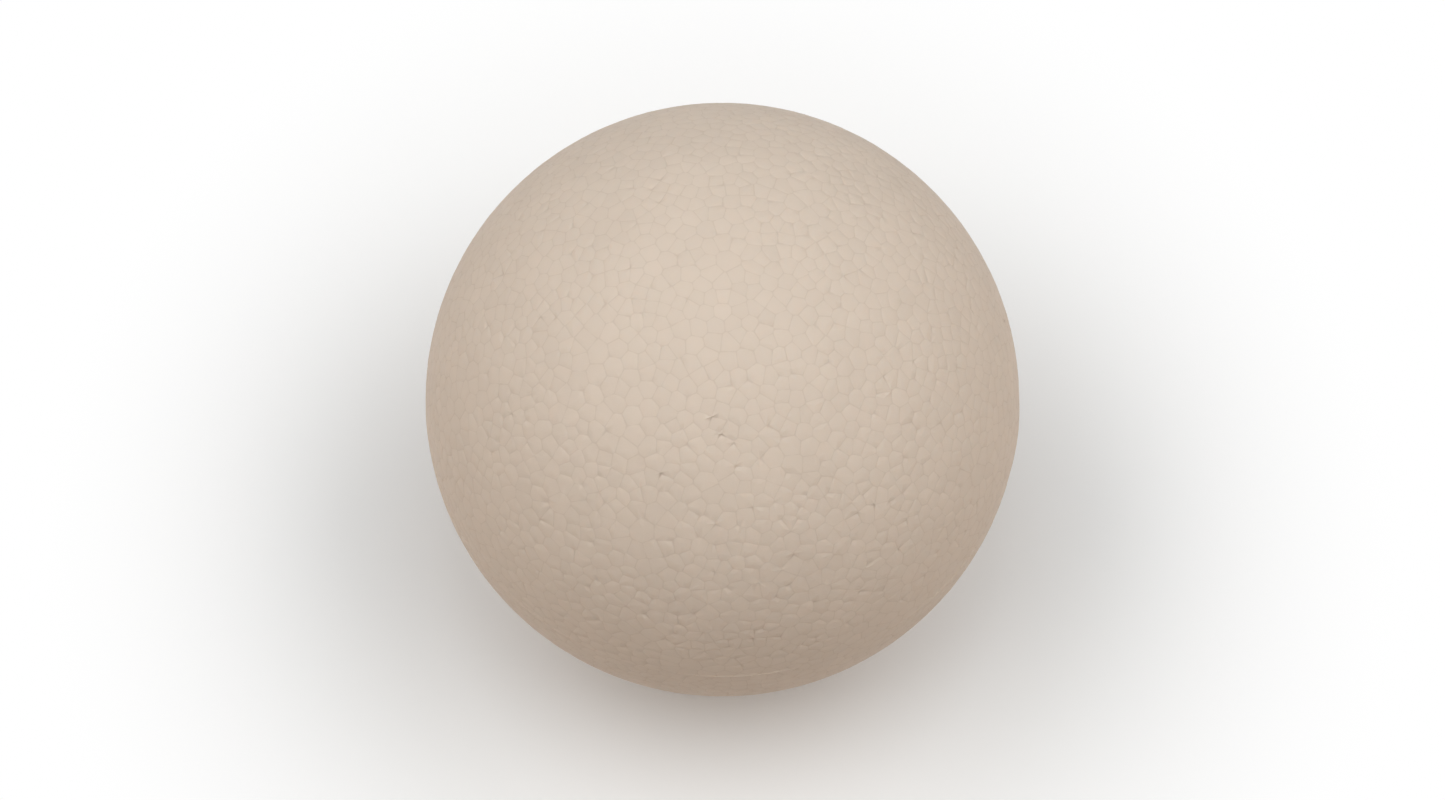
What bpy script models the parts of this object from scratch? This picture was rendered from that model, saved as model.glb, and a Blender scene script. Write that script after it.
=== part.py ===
"""A white craft ball of expanded polystyrene, moulded in one piece from foam beads that steam has fused together.

Metres, +Z up. The origin is the ball's centre, and +Z is the way its mould opened, so the parting line lies in
the XY plane. The skin is a mosaic: each bead at the surface was pressed flat against the mould, and meets its
neighbours along straight borders.
"""

import math

import bmesh
import bpy
import numpy as np
from mathutils import Vector, kdtree

# Ball
BALL_DIAMETER = 0.080

# Foam beads at the surface
BEAD_COUNT = 2700
BEAD_SCATTER = 0.45  # how far a bead strays from an even layout, in bead pitches
BEAD_CLOSEST = 0.85  # beads nearer than this, in bead pitches, are pushed apart
SPREADING_ROUNDS = 3
BEAD_SEED = 3

# Parting line, the thin rib of foam that squeezed between the halves of the mould
PARTING_RIB_WIDTH = 0.0005
PARTING_RIB_HEIGHT = 0.0002
PARTING_RIB_ROOT = 0.0010  # how deep the rib is rooted in the ball
PARTING_RIB_SEGMENTS = 160
RIB_MERGE_DISTANCE = 0.00001

# Foam
FOAM_COLOUR = (0.72, 0.63, 0.54, 1.0)
FOAM_ROUGHNESS = 0.65
FOAM_METALLIC = 0.0

BALL_RADIUS = BALL_DIAMETER / 2
BEAD_SHARE = 4 * math.pi / BEAD_COUNT  # of the surface of a sphere of radius 1
BEAD_PITCH = math.sqrt(BEAD_SHARE * 2 / math.sqrt(3))  # between centres on that sphere, in a hexagonal layout
GOLDEN_ANGLE = math.pi * (3 - math.sqrt(5))


def clear_scene():
    for old in list(bpy.data.objects):
        bpy.data.objects.remove(old, do_unlink=True)


def new_collection(name):
    collection = bpy.data.collections.new(name)
    bpy.context.scene.collection.children.link(collection)
    return collection


def foam_material():
    foam = bpy.data.materials.new("polystyrene_foam")
    foam.use_nodes = True
    shader = foam.node_tree.nodes["Principled BSDF"]
    shader.inputs["Base Color"].default_value = FOAM_COLOUR
    shader.inputs["Roughness"].default_value = FOAM_ROUGHNESS
    shader.inputs["Metallic"].default_value = FOAM_METALLIC
    return foam


def even_layout():
    """Unit vectors on a golden-angle spiral, which spaces them evenly over a sphere."""
    step = np.arange(BEAD_COUNT)
    height = 1 - (2 * step + 1) / BEAD_COUNT
    ring = np.sqrt(1 - height**2)
    turn = step * GOLDEN_ANGLE
    return np.stack([ring * np.cos(turn), ring * np.sin(turn), height], axis=1)


def unit(vectors):
    return vectors / np.linalg.norm(vectors, axis=1)[:, None]


def pushed_apart(directions, closest):
    """The same directions, with each pair that is nearer than closest moved half the shortfall apart."""
    tree = kdtree.KDTree(len(directions))
    for index, direction in enumerate(directions):
        tree.insert(direction, index)
    tree.balance()
    moved = directions.copy()
    for index, direction in enumerate(directions):
        for neighbour, neighbour_index, distance in tree.find_range(direction, closest):
            if neighbour_index != index:
                away = (direction - np.array(neighbour)) / distance
                moved[index] += away * (closest - distance) / 2
    return unit(moved)


def bead_directions():
    """Where the beads at the surface lie, as unit vectors from the ball's centre."""
    random = np.random.default_rng(BEAD_SEED)
    scatter = random.normal(scale=BEAD_SCATTER * BEAD_PITCH, size=(BEAD_COUNT, 3))
    directions = unit(even_layout() + scatter)
    for _ in range(SPREADING_ROUNDS):
        directions = pushed_apart(directions, BEAD_CLOSEST * BEAD_PITCH)
    return directions


def convex_hull_of(points):
    """A bmesh of the smallest convex body that holds these points."""
    hull = bmesh.new()
    for point in points:
        hull.verts.new(point)
    bmesh.ops.convex_hull(hull, input=hull.verts)
    inside = [vertex for vertex in hull.verts if not vertex.link_faces]
    bmesh.ops.delete(hull, geom=inside, context="VERTS")
    return hull


def bead_corners():
    """The corners of the mosaic: each is where the flat faces of three neighbouring beads meet.

    Each face touches the sphere at its bead's centre. The three faces around a corner belong to the beads at
    the ends of one triangle of the hull of the centres, and the corner lies square to that triangle.
    """
    centres = convex_hull_of(Vector(direction) for direction in bead_directions())
    centres.normal_update()
    corners = []
    for triangle in centres.faces:
        distance = triangle.normal.dot(triangle.verts[0].co)
        corners.append(triangle.normal * BALL_RADIUS / distance)
    centres.free()
    return corners


def build_ball(collection, foam):
    body = convex_hull_of(bead_corners())
    mesh = bpy.data.meshes.new("ball")
    body.to_mesh(mesh)
    body.free()
    mesh.materials.append(foam)
    ball = bpy.data.objects.new("ball", mesh)
    collection.objects.link(ball)
    return ball


def build_parting_rib(collection):
    """The rib's ring, as a rectangle turned round the Z axis, its outer side first."""
    inner = BALL_RADIUS - PARTING_RIB_ROOT
    outer = BALL_RADIUS + PARTING_RIB_HEIGHT
    half_width = PARTING_RIB_WIDTH / 2
    profile = bmesh.new()
    corners = [
        profile.verts.new((outer, 0, half_width)),
        profile.verts.new((outer, 0, -half_width)),
        profile.verts.new((inner, 0, -half_width)),
        profile.verts.new((inner, 0, half_width)),
    ]
    for start, end in zip(corners, corners[1:] + corners[:1]):
        profile.edges.new((start, end))
    mesh = bpy.data.meshes.new("parting_rib")
    profile.to_mesh(mesh)
    profile.free()
    rib = bpy.data.objects.new("parting_rib", mesh)
    collection.objects.link(rib)
    turn = rib.modifiers.new("turn", "SCREW")
    turn.axis = "Z"
    turn.steps = PARTING_RIB_SEGMENTS
    turn.render_steps = PARTING_RIB_SEGMENTS
    turn.use_merge_vertices = True
    turn.merge_threshold = RIB_MERGE_DISTANCE
    turn.use_smooth_shade = False
    rib.hide_render = True
    rib.display_type = "WIRE"
    return rib


def join_rib(ball, rib):
    join = ball.modifiers.new("parting_line", "BOOLEAN")
    join.operation = "UNION"
    join.solver = "EXACT"
    join.object = rib


def main():
    clear_scene()
    parts = new_collection("polystyrene_ball")
    helpers = new_collection("joined_shapes")
    ball = build_ball(parts, foam_material())
    join_rib(ball, build_parting_rib(helpers))


main()
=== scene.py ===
"""The looks of a polystyrene foam ball, in metres and in the frame of its solid.

The skin is a mosaic of foam beads that the mould pressed flat. Most beads are slightly domed, each meets its
neighbours in a narrow groove, and some of the corners where three beads meet are small pits.
"""

import math

import bmesh
import bpy
import numpy as np
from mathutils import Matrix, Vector, kdtree


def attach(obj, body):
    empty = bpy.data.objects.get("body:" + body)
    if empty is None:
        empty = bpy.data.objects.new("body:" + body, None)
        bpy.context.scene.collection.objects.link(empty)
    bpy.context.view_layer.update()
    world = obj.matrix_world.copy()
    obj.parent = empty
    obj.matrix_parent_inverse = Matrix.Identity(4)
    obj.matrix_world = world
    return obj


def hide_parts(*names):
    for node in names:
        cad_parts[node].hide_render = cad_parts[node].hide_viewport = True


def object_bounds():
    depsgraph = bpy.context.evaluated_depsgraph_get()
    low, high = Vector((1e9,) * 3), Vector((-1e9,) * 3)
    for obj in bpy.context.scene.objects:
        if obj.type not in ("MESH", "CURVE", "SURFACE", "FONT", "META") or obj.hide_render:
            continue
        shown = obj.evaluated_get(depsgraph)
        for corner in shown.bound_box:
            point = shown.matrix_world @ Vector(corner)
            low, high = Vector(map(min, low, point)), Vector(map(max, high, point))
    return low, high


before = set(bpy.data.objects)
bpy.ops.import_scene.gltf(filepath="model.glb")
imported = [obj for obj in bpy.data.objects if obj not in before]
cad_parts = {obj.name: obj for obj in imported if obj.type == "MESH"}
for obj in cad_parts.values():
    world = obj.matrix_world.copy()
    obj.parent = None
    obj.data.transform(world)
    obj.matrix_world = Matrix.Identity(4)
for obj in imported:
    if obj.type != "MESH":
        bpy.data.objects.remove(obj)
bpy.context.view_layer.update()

MM = 0.001
ROUNDING = 1e-14  # what is left of a product of unit vectors that should be 0
WHITE = (1.0, 1.0, 1.0, 1.0)

# Finding the beads: each flat face of the solid that touches its sphere is one bead
TOUCHES_WITHIN = 0.02 * MM  # how far the plane of a bead's face may lie from that sphere
SAME_BEAD_ANGLE = 0.03  # in radians: faces whose normals differ by less belong to one bead
LEAST_FACE_AREA = 0.1 * MM**2  # the normal of a smaller face is unsure

# Small beads, which fill the wide corners between the solid's beads
SMALL_BEAD_ROOM = 1.50 * MM  # least distance from the solid's beads
SMALL_BEAD_SPACING = 1.50 * MM  # least distance from each other

# Shape of a bead, from its border inwards
SHOULDER_INSET = (0.04 * MM, 0.10 * MM)  # at a well fused border and at a loose one
SHOULDER_ROUNDING = 11.0  # the higher, the sharper the bead's corners
SHOULDER_DROP = 0.30  # of the groove's depth
MEAN_CROWN = 0.008 * MM  # how far the bead's middle stands above its border
CROWN_SPREAD = 0.007 * MM
BEAD_HEIGHT_SPREAD = 0.003 * MM
BEAD_TILT_SPREAD = 0.005  # as a slope

# Grooves and pits between beads
LOOSENESS_BETA = (1.6, 1.9)  # the beta distribution of how loose a border is, from 0 to 1
GROOVE_DEPTH = (0.003 * MM, 0.029 * MM)  # at a well fused border and at a loose one
GROOVE_SHADE_AND_DULLNESS = (0.45, 1.0)  # likewise, for the painted shade in the groove and for its roughness
# how much painted shade and roughness a bead's shoulder gets
SHOULDER_SHADE_AND_DULLNESS = 0.10
PIT_SHARE = 0.13  # of the corners
PIT_SIZE_BETA = (1.5, 2.2)  # the beta distribution of how large a pit is, from 0 to 1
PIT_DEPTH = (0.04 * MM, 0.16 * MM)  # of the smallest pit and of the largest
PIT_REACH = (0.02 * MM, 0.20 * MM)  # how far such a pit pulls back the corners of its beads
SHAPE_SEED = 11

# Parting line
PARTING_HALF_WIDTH = 0.25 * MM
PARTING_CUTS = (-1.0, -0.5, 0.0, 0.5, 1.0)  # heights at which the skin is cut, in half widths
PARTING_REACH = 2.0 * MM  # how far from the line a face's middle may lie for the face to be cut
CUT_TOLERANCE = 0.001 * MM
PARTING_HEIGHT = 0.07 * MM  # on average
PARTING_HEIGHT_SPREAD = 0.05 * MM
PARTING_WAVES = range(3, 17)  # how often each wave in its height runs round the ball
PARTING_SEED = 5

# Foam
FOAM_COLOUR = (0.72, 0.63, 0.54)
TONE_SPREAD = 0.020  # how much lighter or darker a bead may be, and also a patch of the mottling
TONE_DEVIATION = 0.4  # of the beads' tones, as a share of that spread
# Painted shade: the grooves and pits between beads are darkened in colour as well as by their relief
GROOVE_SHADE_COLOUR = (0.52, 0.43, 0.35, 1.0)
GROOVE_SHADE_SHARE = 0.33  # of the painted shade colour in the dullest groove
FOAM_ROUGHNESS = (0.50, 0.65)  # where the wrinkles are lowest and highest
FOAM_SPECULAR = 0.20
FOAM_GLOW = 0.22  # share of the light that goes in and comes out nearby
FOAM_GLOW_RADIUS = (1.0, 0.72, 0.55)  # of red, green and blue light, as shares of the depth
FOAM_GLOW_DEPTH = 1.6 * MM
CELL_SIZE = 0.16 * MM
CELL_RELIEF = {"Strength": 0.4, "Distance": 0.02 * MM}
WRINKLE_SIZE = 0.9 * MM
WRINKLE_DETAIL = 3.0
WRINKLE_RANGE = (0.3, 0.7)  # of most values of the noise
WRINKLE_RELIEF = {"Strength": 0.5, "Distance": 0.03 * MM}
MOTTLE_SIZE = 9.0 * MM
MOTTLE_DETAIL = 2.0
MOTTLE_RANGE = (0.25, 0.75)  # of most values of the noise

# Camera, at the photograph's angle. Angles are in degrees, the lens and the sensor in millimetres.
CAMERA_AZIMUTH = 0.0
CAMERA_ELEVATION = 65.0
CAMERA_LENS = 100.0
CAMERA_SENSOR = 36.0
IMAGE_WIDTH = 1445
IMAGE_HEIGHT = 800
BALL_SHARE_OF_HEIGHT = 0.74

# Light, from pairs of soft lamps, one to the left and one to the right. Angles are in degrees.
COOL = (0.96, 0.985, 1.0)
WARM = (1.0, 0.88, 0.78)
LAMP_PAIRS = {
    "key": {"azimuth": 96.0, "elevation": 68.0, "strength": 0.98, "angle": 50.0, "colour": COOL},
    "fill": {"azimuth": 90.0, "elevation": 38.0, "strength": 0.74, "angle": 70.0, "colour": WARM},
    "front": {"azimuth": 45.0, "elevation": 40.0, "strength": 0.18, "angle": 70.0, "colour": WARM},
}
WORLD_STRENGTH = 0.04
FLOOR_COLOUR = (0.58, 0.50, 0.44, 1.0)  # for the light that it throws up on the ball
FLOOR_SEEN_AS = (0.95, 0.98, 1.0, 1.0)  # by the camera and in reflections
FLOOR_SIZE = 12.0
FLOOR_CLEAR = (0.05, 0.10)  # distances from the ball's lowest point between which it fades to plain white


def unit(vectors):
    return vectors / np.linalg.norm(vectors, axis=-1, keepdims=True)


def blend(low_high, share):
    low, high = low_high
    return low + (high - low) * share


def alternate(first, second):
    """One array with the rows of first and of second in turn."""
    return np.stack([first, second], axis=1).reshape(-1, *first.shape[1:])


def distance_of(face, ball):
    """How far the face's plane lies from the ball's centre."""
    return face.normal.dot(ball.data.vertices[face.vertices[0]].co)


def ball_radius(ball):
    """The radius of the sphere that the solid's flat faces touch, the median distance of its surface."""
    faces = sorted((distance_of(face, ball), face.area) for face in ball.data.polygons)
    distances, areas = np.array(faces).T
    return distances[np.searchsorted(areas.cumsum(), areas.sum() / 2)]


def bead_directions(ball, radius):
    """The beads' places as unit vectors from the ball's centre, from the top of the ball down."""
    touching = []
    for face in ball.data.polygons:
        if abs(distance_of(face, ball) - radius) < TOUCHES_WITHIN and face.area > LEAST_FACE_AREA:
            touching.append(face)
    touching.sort(key=lambda face: face.area, reverse=True)
    tree = kdtree.KDTree(len(touching))
    for index, face in enumerate(touching):
        tree.insert(face.normal, index)
    tree.balance()
    taken = set()
    directions = []
    for index, face in enumerate(touching):
        if index in taken:
            continue
        total = Vector()
        for normal, other, _ in tree.find_range(face.normal, SAME_BEAD_ANGLE):
            taken.add(other)
            total += normal * touching[other].area
        directions.append(total.normalized())
    directions.sort(key=lambda direction: direction.z, reverse=True)
    return np.array(directions)


class Mosaic:
    """The cells that the beads' borders make on a sphere of radius 1.

    corners holds the direction of each corner, where three cells meet, and rooms its distance from their
    beads. ends holds the two corners of each border, and middles the direction of its middle. cells holds,
    for each bead and in order round it, each corner with the border and the neighbour that follow it.
    """

    def __init__(self, directions):
        self.directions = directions
        hull = bmesh.new()
        for direction in directions:
            hull.verts.new(direction)
        hull.verts.index_update()
        bmesh.ops.convex_hull(hull, input=hull.verts)
        self.turn_dented_edges(hull)
        hull.edges.index_update()
        hull.faces.index_update()
        triangles = np.array([[vertex.index for vertex in face.verts] for face in hull.faces])
        first, second, third = (directions[column] for column in triangles.T)
        self.corners = unit(np.cross(second - first, third - first))
        self.rooms = np.linalg.norm(self.corners - first, axis=1)
        self.ends = np.array([[face.index for face in edge.link_faces] for edge in hull.edges])
        self.middles = unit(self.corners[self.ends].sum(axis=1))
        self.cells = [self.cell_of(vertex) for vertex in hull.verts]
        hull.free()

    def turn_dented_edges(self, hull):
        """Makes the hull convex at every edge: convex_hull rounds its points, so some come out dented."""
        waiting = list(hull.edges)
        while waiting:
            edge = waiting.pop()
            if edge.is_valid and self.is_dented(edge):
                turned = bmesh.utils.edge_rotate(edge)
                waiting += [near for face in turned.link_faces for near in face.edges if near != turned]

    def is_dented(self, edge):
        near, far = edge.link_loops
        ahead, behind = near.link_loop_next, near.link_loop_prev
        start, end, third = (self.directions[loop.vert.index] for loop in (near, ahead, behind))
        beyond = self.directions[far.link_loop_prev.vert.index]
        return np.cross(end - start, third - start) @ (beyond - start) > ROUNDING

    @staticmethod
    def cell_of(vertex):
        """Walks round the vertex from face to face, which keeps its order where two corners almost meet."""
        cell = []
        loop = first = vertex.link_loops[0]
        while True:
            before = loop.link_loop_prev
            cell.append((loop.face.index, before.edge.index, before.vert.index))
            loop = before.link_loop_radial_next
            if loop == first:
                return np.array(cell)


def with_small_beads(directions, radius):
    """These beads, and a small one in each corner between them that has room, the widest corners first."""
    mosaic = Mosaic(directions)
    free = mosaic.rooms > SMALL_BEAD_ROOM / radius
    beads = list(directions)
    for index in np.argsort(-mosaic.rooms):
        if free[index]:
            bead = mosaic.corners[index]
            beads.append(bead)
            free &= np.linalg.norm(mosaic.corners - bead, axis=1) > SMALL_BEAD_SPACING / radius
    return np.array(beads)


def tangents(direction):
    """Two unit vectors square to this one and to each other, which make a right-handed set with it."""
    helper = np.eye(3)[np.abs(direction).argmin()]
    across = unit(np.cross(helper, direction))
    return np.array([across, np.cross(direction, across)])


def outline(sides, distances, headings, rounding):
    """How far a bead's outline lies from its centre on each heading. High rounding makes sharp corners."""
    reach = np.clip(headings @ sides.T, 0, None) / distances
    return (reach**rounding).sum(axis=1) ** (-1 / rounding)


class Skin:
    """Works out the skin's vertices and faces, bead by bead.

    How much painted groove shade a vertex shows and how rough it is runs from 0 to 1, and tone, how light a
    face is, from -1 to 1.
    """

    def __init__(self, mosaic, radius):
        self.mosaic = mosaic
        self.radius = radius
        random = np.random.default_rng(SHAPE_SEED)
        beads = len(mosaic.directions)
        borders = len(mosaic.middles)
        corners = len(mosaic.corners)
        self.looseness = random.beta(*LOOSENESS_BETA, borders)
        self.has_pit = random.random(corners) < PIT_SHARE
        self.pit_size = random.beta(*PIT_SIZE_BETA, corners)
        self.height = random.normal(scale=BEAD_HEIGHT_SPREAD, size=beads)
        self.crown = random.normal(MEAN_CROWN, CROWN_SPREAD, beads)
        self.tilt = random.normal(scale=BEAD_TILT_SPREAD, size=(beads, 2))
        self.bead_tone = np.clip(random.normal(scale=TONE_DEVIATION, size=beads), -1, 1)
        self.border_depth = blend(GROOVE_DEPTH, self.looseness)
        self.corner_depth = np.zeros(corners)
        np.maximum.at(self.corner_depth, mosaic.ends, self.border_depth[:, None])
        self.vertices = []
        self.groove_shade_and_dullness = []
        self.faces = []
        self.tone = []

    def build(self):
        self.add_grooves()
        for bead in range(len(self.mosaic.cells)):
            self.add_bead(bead)

    def add_grooves(self):
        """Adds the grooves' bottoms: a vertex at each corner, then one at the middle of each border."""
        pit_depth = np.where(self.has_pit, blend(PIT_DEPTH, self.pit_size), 0)
        # Each corner and pit gets the darkest painted shade and the roughest finish, and each border's
        # middle gets less where it is well fused
        self.add_vertices(self.mosaic.corners, -self.corner_depth - pit_depth, 1.0)
        self.add_vertices(self.mosaic.middles, -self.border_depth, blend(GROOVE_SHADE_AND_DULLNESS, self.looseness))

    def add_vertices(self, directions, heights, groove_shade_and_dullness):
        """Adds vertices at these heights above the ball's radius, and returns the index of the first."""
        first = len(self.vertices)
        self.vertices.extend(directions * (self.radius + heights)[:, None])
        self.groove_shade_and_dullness.extend(np.broadcast_to(groove_shade_and_dullness, len(directions)))
        return first

    def add_bead(self, bead):
        """Adds the bead's top and a ring at its shoulder, and joins them to the groove round it."""
        centre = self.mosaic.directions[bead]
        corners, borders, neighbours = self.mosaic.cells[bead].T

        # On the plane that touches the ball at the bead's centre, the cell has straight sides, each halfway
        # to a neighbour. The headings run from the centre to each corner and to the side's middle after it.
        plane = tangents(centre)
        towards = self.mosaic.directions[neighbours]
        sides = towards @ plane.T
        reach = np.linalg.norm(sides, axis=1)
        sides /= reach[:, None]
        distances = self.radius * (1 - towards @ centre) / reach
        headings = unit(alternate(self.mosaic.corners[corners], self.mosaic.middles[borders]) @ plane.T)

        inset = blend(SHOULDER_INSET, self.looseness[borders])
        pull = np.where(self.has_pit[corners], blend(PIT_REACH, self.pit_size[corners]), 0)
        shoulder = outline(sides, distances - inset, headings, SHOULDER_ROUNDING)
        shoulder -= alternate(pull, np.zeros_like(pull))
        place = headings * shoulder[:, None]

        depth = alternate(self.corner_depth[corners], self.border_depth[borders])
        dome = self.crown[bead] * (1 - (shoulder / distances.mean()) ** 2)
        heights = self.height[bead] + place @ self.tilt[bead] + dome - SHOULDER_DROP * depth
        ring = self.add_vertices(unit(centre * self.radius + place @ plane), heights, SHOULDER_SHADE_AND_DULLNESS)
        top = self.add_vertices(centre[None], self.height[[bead]] + self.crown[[bead]], 0.0)

        groove = alternate(corners, borders + len(self.mosaic.corners))
        for step in range(len(groove)):
            ahead = (step + 1) % len(groove)
            self.add_face(bead, groove[step], groove[ahead], ring + ahead, ring + step)
            self.add_face(bead, ring + step, ring + ahead, top)

    def add_face(self, bead, *vertices):
        self.faces.append(vertices)
        self.tone.append(self.bead_tone[bead])


def parting_height(turn):
    """How high the parting line stands at each angle round the ball. It varies, and in places fades."""
    random = np.random.default_rng(PARTING_SEED)
    waves = np.zeros_like(turn)
    for wave in PARTING_WAVES:
        waves += np.sin(wave * turn + random.uniform(0, 2 * math.pi)) * random.normal()
    waves /= waves.std()
    return np.clip(PARTING_HEIGHT + PARTING_HEIGHT_SPREAD * waves, 0, 2 * PARTING_HEIGHT)


def add_parting_line(body, radius):
    """Cuts the skin along the line and raises it to a low rounded ridge, which also bridges the grooves."""
    for cut in PARTING_CUTS:
        near = [face for face in body.faces if abs(face.calc_center_median().z) < PARTING_REACH]
        edges = dict.fromkeys(edge for face in near for edge in face.edges)
        vertices = dict.fromkeys(vertex for face in near for vertex in face.verts)
        bmesh.ops.bisect_plane(
            body,
            geom=[*vertices, *edges, *near],
            dist=CUT_TOLERANCE,
            plane_co=(0, 0, cut * PARTING_HALF_WIDTH),
            plane_no=(0, 0, 1),
        )
    on_line = [vertex for vertex in body.verts if abs(vertex.co.z) < PARTING_HALF_WIDTH]
    places = np.array([vertex.co for vertex in on_line])
    heights = parting_height(np.arctan2(places[:, 1], places[:, 0]))
    for vertex, height in zip(on_line, heights):
        share = math.cos(vertex.co.z / PARTING_HALF_WIDTH * math.pi / 2) ** 2
        distance = vertex.co.length
        raised = max(distance, radius + height)
        vertex.co *= (distance + (raised - distance) * share) / distance


def add_values(mesh, name, domain, values):
    mesh.attributes.new(name, "FLOAT", domain).data.foreach_set("value", np.array(values, np.float32))


def build_skin(ball, radius, material):
    beads = with_small_beads(bead_directions(ball, radius), radius)
    skin = Skin(Mosaic(beads), radius)
    skin.build()
    mesh = bpy.data.meshes.new("ball_skin")
    mesh.from_pydata(np.array(skin.vertices).tolist(), [], skin.faces)
    add_values(mesh, "groove_shade_and_dullness", "POINT", skin.groove_shade_and_dullness)
    add_values(mesh, "tone", "FACE", skin.tone)
    body = bmesh.new()
    body.from_mesh(mesh)
    add_parting_line(body, radius)
    bmesh.ops.triangulate(body, faces=body.faces)
    body.to_mesh(mesh)
    body.free()
    mesh.shade_smooth()
    mesh.materials.append(material)
    piece = bpy.data.objects.new("ball_skin", mesh)
    bpy.context.scene.collection.objects.link(piece)
    normals = piece.modifiers.new("flat_beads", "WEIGHTED_NORMAL")
    normals.mode = "FACE_AREA"
    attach(piece, "root")
    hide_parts("ball")


class Nodes:
    """A short way to add nodes to a material or a world, to fill them in and to link them."""

    def __init__(self, owner):
        self.tree = owner.node_tree

    def add(self, kind, inputs, **settings):
        node = self.tree.nodes.new(kind)
        for name, value in settings.items():
            setattr(node, name, value)
        self.fill(node, inputs)
        return node

    def fill(self, node, inputs):
        """Gives each socket that inputs names, by its name or number, a value or another node's output."""
        for socket, value in inputs.items():
            if isinstance(value, bpy.types.NodeSocket):
                self.tree.links.new(value, node.inputs[socket])
            else:
                node.inputs[socket].default_value = value

    def math(self, operation, first, second):
        return self.add("ShaderNodeMath", {0: first, 1: second}, operation=operation).outputs[0]

    def mix_colour(self, share, first, second):
        """A mix of two colours, which are this node's inputs 6 and 7. Its colour comes out of output 2."""
        return self.add("ShaderNodeMix", {0: share, 6: first, 7: second}, data_type="RGBA").outputs[2]

    def map_range(self, value, source, target, **settings):
        """The value, which runs over the source range, spread over the target range instead."""
        inputs = {
            "Value": value,
            "From Min": source[0],
            "From Max": source[1],
            "To Min": target[0],
            "To Max": target[1],
        }
        return self.add("ShaderNodeMapRange", inputs, **settings).outputs[0]

    def place(self):
        return self.add("ShaderNodeTexCoord", {}).outputs["Object"]

    def noise(self, size, detail):
        inputs = {"Vector": self.place(), "Scale": 1 / size, "Detail": detail}
        return self.add("ShaderNodeTexNoise", inputs).outputs["Fac"]

    def attribute(self, name):
        return self.add("ShaderNodeAttribute", {}, attribute_name=name).outputs["Fac"]

    def seen(self):
        """1 for a ray that shows a surface to the camera, also in a mirror or through glass, else 0."""
        rays = self.add("ShaderNodeLightPath", {}).outputs
        straight_or_reflected = self.math("MAXIMUM", rays["Is Camera Ray"], rays["Is Glossy Ray"])
        return self.math("MAXIMUM", straight_or_reflected, rays["Is Transmission Ray"])


def foam_material():
    foam = bpy.data.materials.new("polystyrene_foam")
    foam.use_nodes = True
    nodes = Nodes(foam)
    # How dull each vertex is, which sets both the painted shade in the grooves and pits and their roughness
    groove_shade_and_dullness = nodes.attribute("groove_shade_and_dullness")

    # Colour: a tone for each bead, soft mottling, and painted shade darkening the grooves and pits
    tones = (1 - TONE_SPREAD, 1 + TONE_SPREAD)
    bead_light = nodes.map_range(nodes.attribute("tone"), (-1, 1), tones)
    mottle_light = nodes.map_range(nodes.noise(MOTTLE_SIZE, MOTTLE_DETAIL), MOTTLE_RANGE, tones)
    inputs = {0: FOAM_COLOUR, "Scale": nodes.math("MULTIPLY", bead_light, mottle_light)}
    bead_colour = nodes.add("ShaderNodeVectorMath", inputs, operation="SCALE").outputs[0]
    colour = nodes.mix_colour(nodes.math("MULTIPLY", groove_shade_and_dullness, GROOVE_SHADE_SHARE), bead_colour, GROOVE_SHADE_COLOUR)

    # Finish: satin where the mould smoothed a bead, rougher in the grooves
    wrinkle = nodes.noise(WRINKLE_SIZE, WRINKLE_DETAIL)
    roughness = nodes.math("MAXIMUM", nodes.map_range(wrinkle, WRINKLE_RANGE, FOAM_ROUGHNESS), groove_shade_and_dullness)

    # Relief: the foam's cells show through its skin, over soft wrinkles
    inputs = {"Vector": nodes.place(), "Scale": 1 / CELL_SIZE}
    cells = nodes.add("ShaderNodeTexVoronoi", inputs).outputs["Distance"]
    wrinkled = nodes.add("ShaderNodeBump", {"Height": wrinkle, **WRINKLE_RELIEF}).outputs[0]
    celled = nodes.add("ShaderNodeBump", {"Height": cells, "Normal": wrinkled, **CELL_RELIEF}).outputs[0]

    shader = {
        "Base Color": colour,
        "Roughness": roughness,
        "Specular IOR Level": FOAM_SPECULAR,
        "Subsurface Weight": FOAM_GLOW,
        "Subsurface Radius": FOAM_GLOW_RADIUS,
        "Subsurface Scale": FOAM_GLOW_DEPTH,
        "Normal": celled,
    }
    nodes.fill(foam.node_tree.nodes["Principled BSDF"], shader)
    return foam


def floor_material():
    """A pale floor that keeps the ball's shadow near it and fades to white further out."""
    floor = bpy.data.materials.new("floor")
    floor.use_nodes = True
    floor.node_tree.nodes.clear()
    nodes = Nodes(floor)
    seen = nodes.seen()
    colour = nodes.mix_colour(seen, FLOOR_COLOUR, FLOOR_SEEN_AS)
    diffuse = nodes.add("ShaderNodeBsdfDiffuse", {"Color": colour}).outputs[0]
    white = nodes.add("ShaderNodeEmission", {"Color": WHITE, "Strength": 1.0}).outputs[0]
    away = nodes.add("ShaderNodeVectorMath", {0: nodes.place()}, operation="LENGTH").outputs["Value"]
    far = nodes.map_range(away, FLOOR_CLEAR, (0, 1), interpolation_type="SMOOTHSTEP")
    share = nodes.math("MULTIPLY", far, seen)
    mixed = nodes.add("ShaderNodeMixShader", {0: share, 1: diffuse, 2: white}).outputs[0]
    nodes.add("ShaderNodeOutputMaterial", {"Surface": mixed})
    return floor


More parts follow.
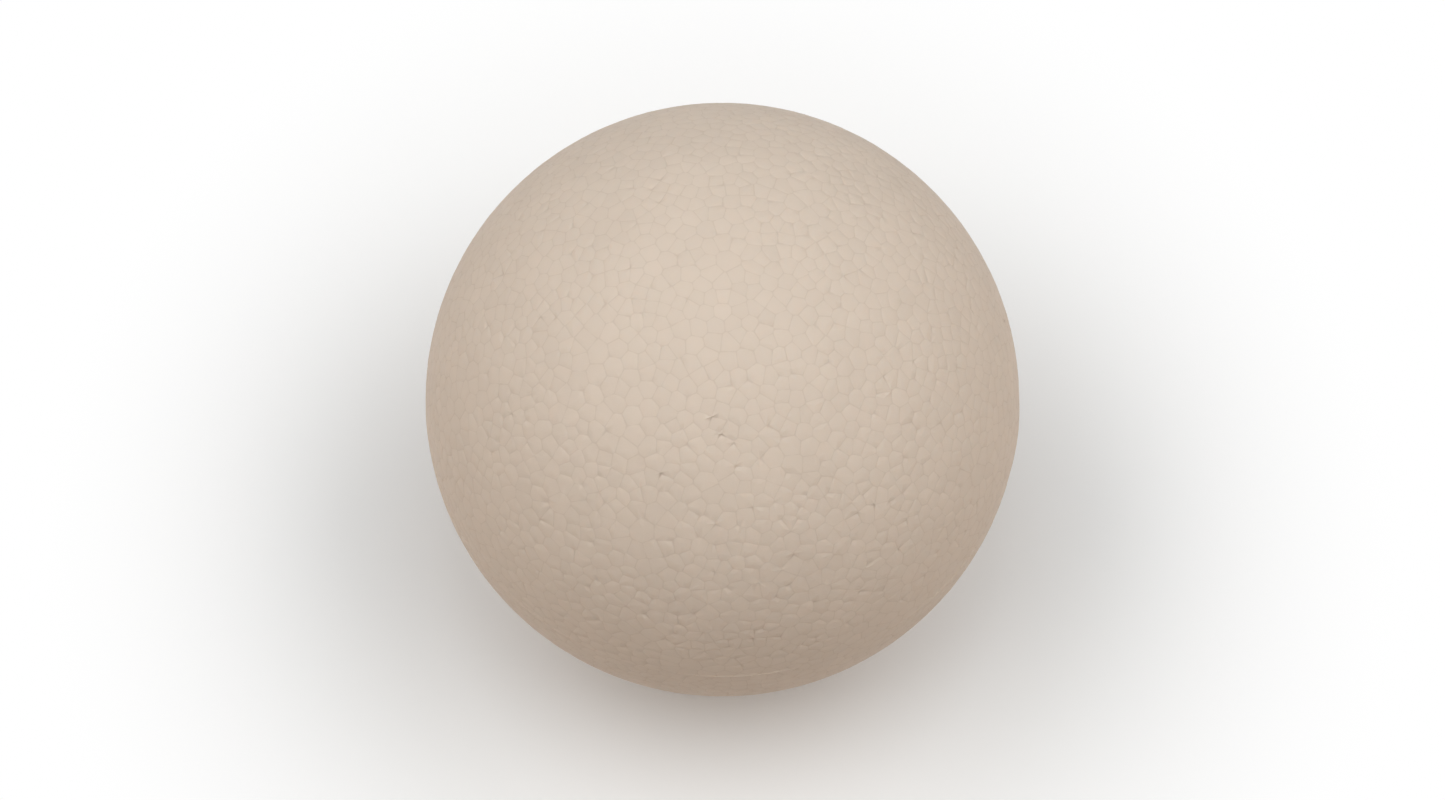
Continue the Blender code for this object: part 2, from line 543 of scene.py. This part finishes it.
def build_floor(level):
    bpy.ops.mesh.primitive_plane_add(size=FLOOR_SIZE, location=(0, 0, level))
    floor = bpy.context.object
    floor.name = "floor"
    floor.data.materials.append(floor_material())


def heading(azimuth, elevation):
    """The unit vector from the ball towards a place. Azimuth 0 is in front, towards -Y, and 90 is +X."""
    turn = math.radians(azimuth)
    rise = math.radians(elevation)
    return Vector((math.sin(turn) * math.cos(rise), -math.cos(turn) * math.cos(rise), math.sin(rise)))


def build_lamp_pair(name, azimuth, elevation, strength, angle, colour):
    for side, turn in {"left": -azimuth, "right": azimuth}.items():
        light = bpy.data.lights.new(side + "_" + name, "SUN")
        light.energy = strength
        light.angle = math.radians(angle)
        light.color = colour
        lamp = bpy.data.objects.new(light.name, light)
        lamp.rotation_euler = heading(turn, elevation).to_track_quat("Z", "Y").to_euler()
        bpy.context.scene.collection.objects.link(lamp)


def build_world():
    """Even light from all round, which is seen as plain white."""
    world = bpy.data.worlds.new("studio")
    world.use_nodes = True
    nodes = Nodes(world)
    strength = nodes.map_range(nodes.seen(), (0, 1), (WORLD_STRENGTH, 1))
    nodes.fill(world.node_tree.nodes["Background"], {"Color": WHITE, "Strength": strength})
    bpy.context.scene.world = world


def build_camera(centre, radius):
    camera = bpy.data.objects.new("camera", bpy.data.cameras.new("camera"))
    camera.data.lens = CAMERA_LENS
    camera.data.sensor_width = CAMERA_SENSOR
    towards = heading(CAMERA_AZIMUTH, CAMERA_ELEVATION)
    frame_height = 2 * radius / BALL_SHARE_OF_HEIGHT
    sensor_height = CAMERA_SENSOR * IMAGE_HEIGHT / IMAGE_WIDTH
    camera.location = centre + towards * (frame_height * CAMERA_LENS / sensor_height)
    camera.rotation_euler = towards.to_track_quat("Z", "Y").to_euler()
    bpy.context.scene.collection.objects.link(camera)
    bpy.context.scene.camera = camera


def main():
    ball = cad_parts["ball"]
    radius = ball_radius(ball)
    build_skin(ball, radius, foam_material())
    low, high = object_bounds()
    build_floor(low.z)
    for name, lamps in LAMP_PAIRS.items():
        build_lamp_pair(name, **lamps)
    build_world()
    build_camera((low + high) / 2, radius)
    bpy.context.scene.view_settings.view_transform = "Standard"


main()
